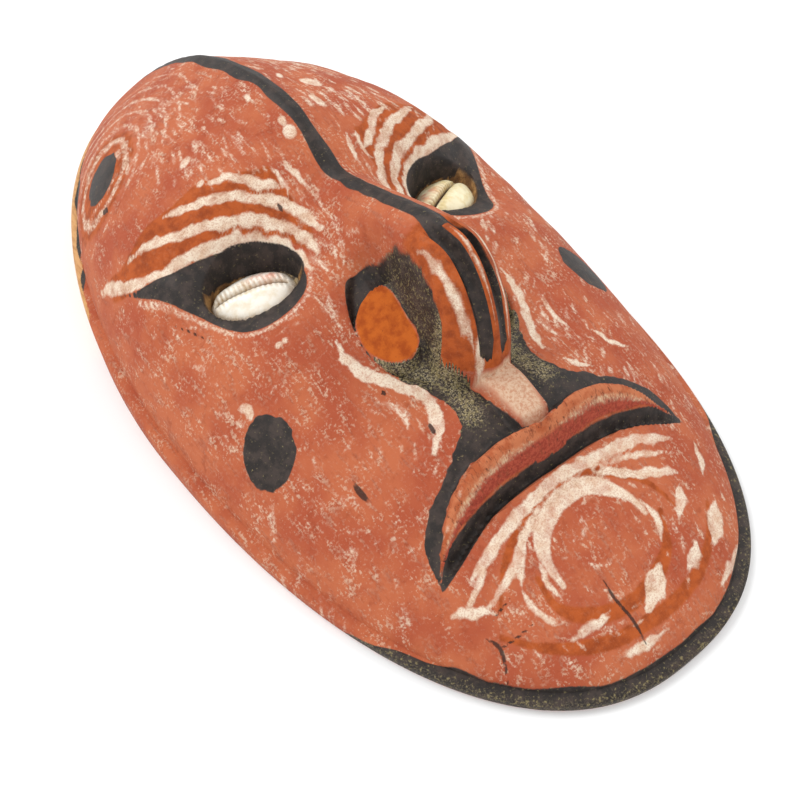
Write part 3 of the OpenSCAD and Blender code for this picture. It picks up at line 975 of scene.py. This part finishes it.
@dataclass(frozen=True)
class EarthPaint:
    """Matt earth paints on wood: ochre ground with orange, chalk white and charcoal marks, scuffed, with
    painted highlight on the lit lips of the wing hollows and painted shade on the upper walls of the eye
    sockets.
    """

    ochre: str = "A54D30"
    ochre_light: str = "B7633F"
    ochre_deep: str = "8C3C22"
    orange: str = "AE511A"
    orange_deep: str = "8A3A0E"
    chalk: str = "E9DAC4"
    chalk_dull: str = "D8B99E"
    charcoal: str = "221B18"
    charcoal_light: str = "3B302B"
    olive: str = "83764F"
    wood: str = "CE9B63"
    lip_high: str = "BE7049"
    lip_high_deep: str = "A95530"
    lip_red: str = "A84A34"
    lip_red_deep: str = "8E3524"
    lip_brown: str = "7C3A22"
    lip_pale: str = "D8BC98"
    nick: str = "4A2419"
    powder: str = "D6B89C"
    powder_pink: str = "C08E70"
    # Olive-grey of rubbed charcoal, also used as the painted highlight on the lit lips of the wing hollows.
    rubbed_and_lit_grey: str = "B3A483"
    disc_orange: str = "BA5A12"
    disc_deep: str = "9C4208"
    disc_fleck: str = "7A2E0D"
    ledge: str = "6E4C2C"
    ledge_light: str = "A27A4A"
    ledge_soot: str = "2B211A"
    crack: str = "33211B"
    wood_grain: str = "B37D48"
    specular: float = 0.35

    def build(self) -> bpy.types.Material:
        """Makes the material."""
        s = Shader("earth_paint")
        fine = s.noise(0.75, 4, 0.65)
        grit = s.noise(0.38, 2, 0.6, shift=7)
        spot = s.noise(3.2, 3, 0.6, shift=3)
        cloud = s.noise(14, 3, 0.55, shift=5)
        brushed = s.noise(1.3, 3, 0.6, (0.8, 5.0, 2.0), 11)
        ragged = s.math("ADD", s.math("MULTIPLY", s.math("SUBTRACT", spot, 0.5), 1.3),
                        s.math("MULTIPLY", s.math("SUBTRACT", fine, 0.5), 1.5))

        # The ochre ground, streaked and rubbed.
        ground = s.mix(s.span(cloud, 0.35, 0.65), self.ochre, self.ochre_light)
        ground = s.mix(s.span(brushed, 0.5, 0.72, 0, 0.55), ground, self.ochre_deep)
        ground = s.mix(s.span(spot, 0.56, 0.75, 0, 0.45), ground, self.ochre_deep)
        patchy = s.span(s.noise(8, 4, 0.65, shift=13), 0.42, 0.62, 0.1, 0.55)
        rubbed = s.math("MULTIPLY", s.span(s.math("ADD", s.math("MULTIPLY", fine, 0.6), s.math("MULTIPLY",
                                                                                               brushed, 0.4)),
                                           0.5, 0.6), patchy)
        ground = s.mix(rubbed, ground, self.chalk_dull)

        # Orange over the ground.
        warm = s.mix(s.span(spot, 0.35, 0.7), self.orange, self.orange_deep)
        warm = s.mix(s.span(grit, 0.58, 0.7, 0, 0.35), warm, self.ochre_light)
        is_orange = s.span(s.border("orange", ragged, 0.6), -0.35, 0.35,
                           0, 0.92)
        colour = s.mix(is_orange, ground, warm)

        # The two facets of the lip, with the pale crease and the nicks of the knife.
        upper_lip = s.mix(s.span(spot, 0.4, 0.65), self.lip_high, self.lip_high_deep)
        lower_lip = s.mix(s.span(fine, 0.4, 0.6), self.lip_red, self.lip_red_deep)
        lip = s.mix(s.span(s.attribute("lip_low"), -0.4, 0.4), upper_lip, lower_lip)
        lip = s.mix(s.span(s.noise(2.2, 4, 0.7, (0.5, 2.4, 1), 23), 0.52, 0.66, 0, 0.7), lip, self.lip_brown)
        nick = s.noise(1.7, 3, 0.7, (0.35, 2.0, 1), 29)
        pale = s.span(s.border("crease", ragged, 0.9), -0.1, 0.8, 0,
                      0.86)
        lip = s.mix(s.math("MULTIPLY", pale, s.span(nick, 0.4, 0.56, 1.0, 0.35)), lip, self.lip_pale)
        lip = s.mix(s.span(nick, 0.6, 0.68, 0, 0.75), lip, self.nick)
        colour = s.mix(s.span(s.attribute("lip"), -0.1, 0.25), colour, lip)
        # Chalk: powder on the ridge under the nose, thin scuffs, then the firm strokes.
        chalk = s.mix(s.span(spot, 0.4, 0.7), self.chalk, self.chalk_dull)
        powder = s.mix(s.span(fine, 0.4, 0.64), self.powder, self.powder_pink)
        powdered = s.span(s.border("bar", ragged, 1.1), 0.1, 1.9, 0.1,
                          0.92)
        colour = s.mix(s.math("MULTIPLY", powdered, s.span(s.attribute("bar"), 0.0, 0.25)), colour, powder)
        soft = s.span(s.border("faint", ragged, 0.8), -0.15, 0.75)
        soft = s.math("MULTIPLY", soft, s.span(brushed, 0.36, 0.58, 0.2, 0.78))
        soft = s.math("MULTIPLY", soft, s.span(fine, 0.38, 0.56, 0.35, 1.0))
        colour = s.mix(soft, colour, chalk)
        firm = s.span(s.border("white", ragged, 0.42), -0.25, 0.45, 0,
                      0.94)
        firm = s.math("MULTIPLY", firm, s.span(grit, 0.36, 0.54, 0.6, 1.0))
        firm = s.math("MULTIPLY", firm, s.span(s.noise(5, 3, 0.6, shift=17), 0.36, 0.52, 0.62, 1.0))
        colour = s.mix(firm, colour, chalk)

        # Charcoal, rubbed to olive and grey where it is worn, and lighter olive-grey as painted highlight on
        # the lit lips of the wing hollows.
        worn = s.attribute("worn")
        soot = s.mix(s.span(spot, 0.4, 0.65), self.charcoal, self.charcoal_light)
        speck = s.span(s.math("ADD", fine, s.math("MULTIPLY", worn, 0.16)), 0.6, 0.74, 0, 0.8)
        soot = s.mix(speck, soot, self.olive)
        soot = s.mix(s.math("MULTIPLY", s.span(grit, 0.5, 0.66), s.span(worn, 0.3, 1.0, 0, 0.75)), soot,
                     self.rubbed_and_lit_grey)
        is_black = s.span(s.border("black", ragged, 0.22), -0.14, 0.14)
        colour = s.mix(is_black, colour, soot)

        # The wing discs, the brown floor and lower wall of the sockets, whose upper wall is left charcoal as
        # painted shade, cracks and bare wood.
        disc = s.mix(s.span(spot, 0.38, 0.68), self.disc_orange, self.disc_deep)
        disc = s.mix(s.span(fine, 0.6, 0.75, 0, 0.6), disc, self.disc_fleck)
        is_disc = s.span(s.attribute("disc"), -0.25, 0.25)
        colour = s.mix(is_disc, colour, disc)

        # Brown of the socket floor and lower wall only; the upper wall is left charcoal as painted shade.
        ledge = s.mix(s.span(spot, 0.4, 0.62), self.ledge, self.ledge_light)
        ledge = s.mix(s.span(grit, 0.5, 0.7, 0, 0.7), ledge, self.ledge_soot)
        colour = s.mix(s.span(s.attribute("socket"), -0.25, 0.35), colour, ledge)
        crack = s.span(s.border("crack", ragged, 0.25), -0.12, 0.16)
        colour = s.mix(s.math("MULTIPLY", crack, 0.9), colour, self.crack)
        bare = s.span(s.border("bare", ragged, 0.7), -0.2, 0.3)
        timber = s.mix(s.span(s.noise(0.9, 3, 0.6, (1, 9, 1), 19), 0.4, 0.66), self.wood, self.wood_grain)
        colour = s.mix(bare, colour, timber)

        relief = s.bump(fine, 0.07)
        relief = s.bump(brushed, 0.12, relief)
        relief = s.bump(s.math("SUBTRACT", s.math("ADD", firm, s.math("MULTIPLY", is_black, 0.5)),
                               s.math("MULTIPLY", crack, 3.0)), 0.09, relief)
        s.surface.inputs["Specular IOR Level"].default_value = self.specular
        rough = s.math("ADD", s.span(is_black, 0, 1, 0.86, 0.6), s.math("MULTIPLY", s.math("SUBTRACT", spot,
                                                                                           0.5), 0.2))
        return s.finish(colour, rough, relief)


@dataclass(frozen=True)
class BareWood:
    """Unpainted pale wood of the back, cut with an adze and gone brown with handling."""

    light: str = "C9965F"
    dark: str = "96643A"
    stain: str = "6B4527"

    def build(self) -> bpy.types.Material:
        """Makes the material."""
        s = Shader("bare_wood")
        grain = s.noise(1.1, 4, 0.6, (1, 16, 3))
        broad = s.noise(7, 3, 0.55, (1, 7, 2), 4)
        stain = s.noise(24, 3, 0.6, shift=9)
        colour = s.mix(s.span(broad, 0.35, 0.68), self.light, self.dark)
        colour = s.mix(s.span(grain, 0.5, 0.68, 0, 0.6), colour, self.dark)
        colour = s.mix(s.span(stain, 0.48, 0.7, 0, 0.65), colour, self.stain)
        relief = s.bump(grain, 0.16)
        relief = s.bump(broad, 0.2, relief)
        return s.finish(colour, s.span(grain, 0.3, 0.7, 0.62, 0.82), relief)


@dataclass(frozen=True)
class ShellGlaze:
    """Cream cowrie shell, glossy on its lips, with tan stain between its teeth."""

    cream: str
    warm: str
    stain: str = "A9865A"
    blush: str = "D9826B"
    slit: str = "4A3A2A"
    margin: str = "9C8A72"
    coat: float = 0.35

    def build(self) -> bpy.types.Material:
        """Makes the material."""
        s = Shader("cowrie_" + self.cream.lower())
        spot = s.noise(2.6, 3, 0.55)
        fine = s.noise(0.6, 3, 0.6, shift=3)
        colour = s.mix(s.span(spot, 0.42, 0.7), self.cream, self.warm)
        dirt = s.math("MULTIPLY", s.attribute("groove"), s.span(fine, 0.3, 0.6, 0.55, 1.0))
        colour = s.mix(dirt, colour, self.stain)
        colour = s.mix(s.span(s.attribute("mouth"), 0.35, 0.9), colour, self.slit)
        colour = s.mix(s.math("MULTIPLY", s.attribute("blush"), s.span(spot, 0.36, 0.6, 0.2, 0.9)), colour,
                       self.blush)
        rim = s.math("MULTIPLY", s.span(s.attribute("margin"), 0.78, 1.0), s.span(fine, 0.35, 0.6, 0.3, 0.9))
        colour = s.mix(rim, colour, self.margin)
        s.surface.inputs["Coat Weight"].default_value = self.coat
        s.surface.inputs["Coat Roughness"].default_value = 0.18
        return s.finish(colour, s.span(fine, 0.3, 0.7, 0.28, 0.45), s.bump(fine, 0.03))


@dataclass(frozen=True)
class DriedPutty:
    """Dried clay and resin putty, dull and gritty."""

    dark: str = "4B4034"
    light: str = "9A845F"
    soot: str = "2F2823"

    def build(self) -> bpy.types.Material:
        """Makes the material."""
        s = Shader("dried_putty")
        spot = s.noise(2.2, 4, 0.6)
        grit = s.noise(0.5, 3, 0.6, shift=5)
        colour = s.mix(s.span(spot, 0.38, 0.62), self.dark, self.light)
        colour = s.mix(s.span(grit, 0.55, 0.72, 0, 0.6), colour, self.soot)
        relief = s.bump(grit, 0.12)
        relief = s.bump(spot, 0.3, relief)
        return s.finish(colour, s.span(grit, 0.3, 0.7, 0.8, 0.95), relief)


@dataclass
class CarvedMask:
    """The carved wooden mask: face, rim and hollow in one closed mesh."""

    form: FaceForm = field(default_factory=FaceForm)
    cells_across: int = 200
    cells_along: int = 350
    hollow_across: int = 50
    hollow_along: int = 88
    gather: float = 0.28
    ledge: float = 3.0
    rim_width: float = 8.0
    shell_wall: float = 13.0
    eye_backing: float = 4.0
    backing_slope: float = 0.8
    plan: PaintPlan = field(default_factory=PaintPlan)
    front_finish: EarthPaint = field(default_factory=EarthPaint)
    back_finish: BareWood = field(default_factory=BareWood)

    def face_grid(self) -> bpy.types.Object:
        """Makes the front of the mask from a grid laid over the outline."""
        piece = grid("mask_shell_carved", self.cells_across, self.cells_along)
        r, angle = to_disc(coordinates(piece), self.gather)
        ex, ey = self.form.outline.edge(angle, self.ledge)
        middle = self.form.outline.widest_y
        x, y = r * ex, middle + r * (ey - middle)
        z = self.form.carved(np.clip(r, 0, 1), angle, x, y)
        place(piece, np.stack([x, y, z], 1) * MM)
        return piece

    def rim(self, piece: bpy.types.Object) -> None:
        """Extrudes the edge of the face outwards, down to the rim plane and in under the rim."""
        wall = self.form.edge_wall
        rings: list[tuple[float, Callable[[np.ndarray], np.ndarray]]] = [
            (self.ledge * 0.55, lambda a: wall(a) * 0.99),
            (self.ledge * 0.15, lambda a: wall(a) * 0.93),
            (0.0, lambda a: wall(a) * 0.8),
            (0.0, lambda a: wall(a) * 0.45),
            (0.0, lambda a: np.full(a.shape, 0.5)),
            (0.5, lambda a: np.zeros(a.shape)),
            (self.rim_width - 0.6, lambda a: np.zeros(a.shape)),
            (self.rim_width, lambda a: np.full(a.shape, 0.6)),
        ]
        select_border(piece)
        last = self.ledge
        for inset, height in rings:
            bpy.ops.mesh.extrude_edges_move()
            bpy.ops.object.mode_set(mode="OBJECT")
            co = coordinates(piece)
            chosen = np.zeros(len(co), bool)
            piece.data.vertices.foreach_get("select", chosen)
            angle = self.angle_at(co[chosen] / MM, last)
            last = inset
            x, y = self.form.outline.edge(angle, inset)
            co[chosen] = np.stack([x, y, height(angle)], 1) * MM
            place(piece, co)
            bpy.ops.object.mode_set(mode="EDIT")
        bpy.ops.object.mode_set(mode="OBJECT")

    def angle_at(self, point: np.ndarray, inset: float) -> np.ndarray:
        """Finds the outline's angle at places on it.

        Args:
            point: the places.
            inset: how far inside the outline they lie.

        Returns:
            The angles, in radians.
        """
        outline = self.form.outline
        up = point[:, 1] - outline.widest_y
        n = np.where(up > 0, outline.crown_round, outline.jaw_round)
        rise = np.clip(up / (outline.half_length - np.sign(up) * outline.widest_y - inset), -1, 1)
        side = np.abs(point[:, 0]) / ((outline.half_width - inset) * (1 + outline.skew * rise))
        return np.arctan2(np.sign(up) * np.abs(rise) ** (n / 2), np.sign(point[:, 0]) * side ** (n / 2))

    def hollow(self) -> bpy.types.Object:
        """Makes the hollow at the back, with the marks of the adze."""
        piece = grid("mask_hollow", self.hollow_across, self.hollow_along)
        r, angle = to_disc(coordinates(piece), 0.1)
        r = np.clip(r, 0, 1)
        ex, ey = self.form.outline.edge(angle, self.rim_width)
        middle = self.form.outline.widest_y
        x, y = r * ex, middle + r * (ey - middle)
        eye = self.form.eye
        out = np.abs(x) - eye.x
        past = np.hypot(out, y - eye.y) - eye.socket_long - 1
        cap = eye.floor_z - self.eye_backing - math.tan(eye.yaw) * out + self.backing_slope * np.maximum(past,
                                                                                                         0)
        z = np.minimum(self.form.dome(r, angle, y) - self.shell_wall * (1 - r**6), cap)
        marks = 0.5 * np.abs(Ripple(11, 30, 5).at(x, y * 0.5)) + 0.15 * Ripple(12, 9).at(x, y)
        z = (z - marks) * ease((1 - r) / 0.03) + 1.2
        place(piece, np.stack([x, y, z], 1) * MM)
        paint(piece, "inside", np.ones(len(x)))
        return piece

    def close(self, piece: bpy.types.Object, hollow: bpy.types.Object) -> None:
        """Joins the face with its rim to the hollow and bridges the gap between them."""
        deselect()
        hollow.select_set(True)
        piece.select_set(True)
        bpy.context.view_layer.objects.active = piece
        bpy.ops.object.join()
        select_border(piece)
        bpy.ops.mesh.bridge_edge_loops()
        seal_normals()

    def dress(self, piece: bpy.types.Object) -> None:
        """Stores the painted marks at the vertices and gives the front and the back their finishes."""
        co = coordinates(piece) / MM
        x, y, z = co.T
        inside = np.zeros(len(co), np.float32)
        piece.data.attributes["inside"].data.foreach_get("value", inside)
        front = (inside < 0.5) & (z > 0.4)
        edge = self.form.outline.gap(x[front], y[front])
        for name, deep in self.plan.fields(x[front], y[front], z[front], edge, self.form.nose,
                                              self.form.eye).items():
            values = np.full(len(co), -9.0)
            values[front] = deep
            paint(piece, name, values)
        piece.data.materials.append(self.front_finish.build())
        piece.data.materials.append(self.back_finish.build())
        index = np.array([1 if all(not front[v] for v in p.vertices) else 0 for p in piece.data.polygons],
                         np.int32)
        piece.data.polygons.foreach_set("material_index", index)

    def build(self) -> bpy.types.Object:
        """Builds the mask and hands it to the frame."""
        piece = self.face_grid()
        self.rim(piece)
        self.close(piece, self.hollow())
        self.dress(piece)
        bpy.ops.object.shade_smooth_by_angle(angle=math.radians(50))
        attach(piece, "root")
        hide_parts("mask_shell")
        return piece


# ---------------------------------------------------------------------------------------------
# Eyes
# ---------------------------------------------------------------------------------------------


@dataclass
class EyeSeat:
    """The frame of one eye: its place, turn and the pieces that it shares with the mask."""

    side: Side
    form: EyeField = field(default_factory=EyeField)

    def place(self, u: np.ndarray, v: np.ndarray, w: np.ndarray) -> np.ndarray:
        """Turns places in the eye's own frame into places on the mask, in metres."""
        side = self.side.value
        tip, lean = side * self.form.yaw, side * self.form.roll
        x1, z1 = u * math.cos(tip) + w * math.sin(tip), -u * math.sin(tip) + w * math.cos(tip)
        x2, y2 = x1 * math.cos(lean) - v * math.sin(lean), x1 * math.sin(lean) + v * math.cos(lean)
        return np.stack([x2 + side * self.form.x, y2 + self.form.y, z1 + self.form.floor_z], 1) * MM

    def close(self, piece: bpy.types.Object, low: float) -> None:
        """Pulls the edge of a disc-shaped mesh straight down and closes its underside.

        Args:
            piece: the mesh, whose vertices are still in the eye's own frame.
            low: height of the underside, in millimetres.
        """
        select_border(piece)
        bpy.ops.mesh.extrude_edges_move()
        bpy.ops.object.mode_set(mode="OBJECT")
        co = coordinates(piece)
        chosen = np.zeros(len(co), bool)
        piece.data.vertices.foreach_get("select", chosen)
        co[chosen, 2] = low * MM
        place(piece, co)
        bpy.ops.object.mode_set(mode="EDIT")
        bpy.ops.mesh.edge_face_add()
        bpy.ops.mesh.quads_convert_to_tris()
        seal_normals()


@dataclass
class Cowrie:
    """A cowrie shell with its toothed mouth up."""

    seat: EyeSeat
    finish: ShellGlaze
    length: float = 24.0
    width: float = 16.5
    height: float = 6.0
    bed: float = 1.0
    teeth: int = 15
    cells: int = 90

    def build(self) -> bpy.types.Object:
        """Builds the shell and hands it to the frame."""
        name = self.seat.side.name.lower() + "_eye_cowrie"
        piece = grid(name + "_shell", self.cells, self.cells)
        r, angle = to_disc(coordinates(piece), 0.1)
        r = np.clip(r, 0, 1)
        lift = np.arccos(np.clip(r, 0, 1) ** 1.25)
        u = self.length / 2 * r * np.cos(angle)
        v = self.width / 2 * r * np.sin(angle) * (1 + 0.1 * np.cos(angle))
        w = (self.height - 0.15) * np.sin(lift)
        middle = 0.5 * np.sin(u / 5.0) + 0.2
        off = v - middle
        reach = ease((10.8 - np.abs(u)) / 1.6)
        lips = 0.55 * np.exp(-(((np.abs(off) - 2.6) / 1.7) ** 2)) * reach
        slit = np.exp(-((off / 0.62) ** 2)) * ease((10.2 - np.abs(u)) / 0.8)
        pitch = 20.0 / self.teeth
        tooth = 0.5 + 0.5 * np.cos(2 * math.pi * (u + 0.25 * off) / pitch + np.where(off > 0, 0.0, 2.1))
        near = ease((3.9 - np.abs(off)) / 3.0) * ease((np.abs(off) - 0.2) / 0.4) * reach
        near = near * np.where(off > 0, 1.0, 0.5) * (0.8 + 0.35 * Ripple(63, 5).at(u, v))
        w = w - 0.35 + lips - 2.1 * slit - 0.42 * near * (1 - tooth) + 0.04 * Ripple(61, 3).at(u, v)
        w = np.clip(w, 0.05, self.height)
        place(piece, np.stack([u, v, w + self.bed], 1) * MM)
        paint(piece, "groove", np.clip(0.9 * near * (1 - tooth) ** 1.3 + 0.6 * slit, 0, 1))
        paint(piece, "mouth", slit)
        paint(piece, "blush", np.exp(-(((u * self.seat.side.value + 4.5) / 4) ** 2 + ((v - 3.6) / 2.2) ** 2)))
        paint(piece, "margin", r)
        self.seat.close(piece, self.bed)
        co = coordinates(piece) / MM
        place(piece, self.seat.place(co[:, 0], co[:, 1], co[:, 2]))
        take(piece)
        bpy.ops.object.shade_smooth_by_angle(angle=math.radians(60))
        piece.data.materials.append(self.finish.build())
        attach(piece, "root")
        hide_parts(name)
        return piece


@dataclass
class Putty:
    """The ragged bed of putty that holds a cowrie."""

    seat: EyeSeat
    finish: DriedPutty = field(default_factory=DriedPutty)
    long: float = 13.4
    wide: float = 9.65
    shell_long: float = 12.0
    shell_wide: float = 8.25
    bed: float = 1.0
    height: float = 2.5
    cells: int = 60

    def build(self) -> bpy.types.Object:
        """Builds the putty and hands it to the frame."""
        name = self.seat.side.name.lower() + "_eye_putty"
        piece = grid(name + "_ring", self.cells, self.cells)
        r, angle = to_disc(coordinates(piece), 0.0)
        r = np.clip(r, 0, 1)
        u, v = self.long * r * np.cos(angle), self.wide * r * np.sin(angle)
        shell = np.hypot(u / self.shell_long, v / self.shell_wide)
        ripple = Ripple(70 + self.seat.side.value, 5).at(u, v) + 0.5 * Ripple(75 + self.seat.side.value,
                                                                              1.8).at(u, v)
        w = self.bed * 0.6 + self.height * ease((shell - 0.86) / 0.16) + 0.3 * ripple * ease((1 - r) / 0.05)
        place(piece, np.stack([u, v, np.clip(w, 0.3, self.bed + self.height)], 1) * MM)
        self.seat.close(piece, 0.0)
        co = coordinates(piece) / MM
        place(piece, self.seat.place(co[:, 0], co[:, 1], co[:, 2]))
        take(piece)
        bpy.ops.object.shade_smooth_by_angle(angle=math.radians(60))
        piece.data.materials.append(self.finish.build())
        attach(piece, "root")
        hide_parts(name)
        return piece


@dataclass
class Studio:
    """Pale floor, soft light and the camera."""

    camera_from: tuple[float, float, float] = (-0.0983, -0.1565, 0.1937)
    camera_to: tuple[float, float, float] = (-0.0187, -0.0465, 0.026)
    lens: float = 39.99
    roll: float = math.radians(-1.4)

    def camera(self) -> None:
        """Sets the camera up at the viewing angle."""
        data = bpy.data.cameras.new("camera")
        data.lens = self.lens
        data.sensor_width = 36
        data.clip_start = 0.01
        camera = bpy.data.objects.new("camera", data)
        camera.location = self.camera_from
        aim = Vector(self.camera_to) - Vector(self.camera_from)
        turn = aim.to_track_quat("-Z", "Y").to_matrix().to_4x4()
        camera.rotation_euler = (turn @ Matrix.Rotation(self.roll, 4, "Z")).to_euler()
        bpy.context.scene.collection.objects.link(camera)
        bpy.context.scene.camera = camera

    def floor(self) -> None:
        """Lays the pale floor under the rim."""
        deselect()
        bpy.ops.mesh.primitive_plane_add(size=6, location=(0, 0, 0))
        piece = active_mesh("floor")
        piece.data.materials.append(FloorFinish().build())

    def light(self, name: str, place_at: tuple[float, float, float], size: float, power: float) -> None:
        """Hangs one soft square light that points at the mask."""
        data = bpy.data.lights.new(name, "AREA")
        data.size = size
        data.energy = power
        lamp = bpy.data.objects.new(name, data)
        lamp.location = place_at
        lamp.rotation_euler = (-Vector(place_at)).to_track_quat("-Z", "Y").to_euler()
        bpy.context.scene.collection.objects.link(lamp)

    def build(self) -> None:
        """Builds the whole studio."""
        self.camera()
        self.floor()
        self.light("key_light", (-0.5, 0.9, 1.3), 0.9, 14)
        self.light("fill_light", (-0.9, -0.9, 1.0), 1.2, 7)
        self.light("right_light", (1.1, -0.1, 0.9), 1.0, 6)
        world = bpy.data.worlds.new("studio")
        world.use_nodes = True
        world.node_tree.nodes["Background"].inputs["Color"].default_value = (1, 1, 1, 1)
        world.node_tree.nodes["Background"].inputs["Strength"].default_value = 0.7
        bpy.context.scene.world = world
        bpy.context.scene.view_settings.view_transform = "Standard"


@dataclass(frozen=True)
class FloorFinish:
    """Plain white cloth."""

    colour: Colour = (0.9, 0.9, 0.9)

    def build(self) -> bpy.types.Material:
        """Makes the material."""
        material = bpy.data.materials.new("pale_floor")
        material.use_nodes = True
        shader = material.node_tree.nodes["Principled BSDF"]
        shader.inputs["Base Color"].default_value = (*self.colour, 1)
        shader.inputs["Roughness"].default_value = 0.9
        return material


def main() -> None:
    """Builds the mask, its eyes and the studio, in that order."""
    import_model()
    pieces = [CarvedMask().build()]
    for side in Side:
        seat = EyeSeat(side)
        glaze = ShellGlaze("F7F1E4", "EADDC4") if side is Side.LEFT else ShellGlaze("F2E6BE", "E2CD93")
        pieces += [Putty(seat).build(), Cowrie(seat, glaze).build()]
    for piece in pieces:
        log.info("%s: %d triangles", piece.name, sum(len(p.vertices) - 2 for p in piece.data.polygons))
    Studio().build()


if __name__ == "__main__":
    main()
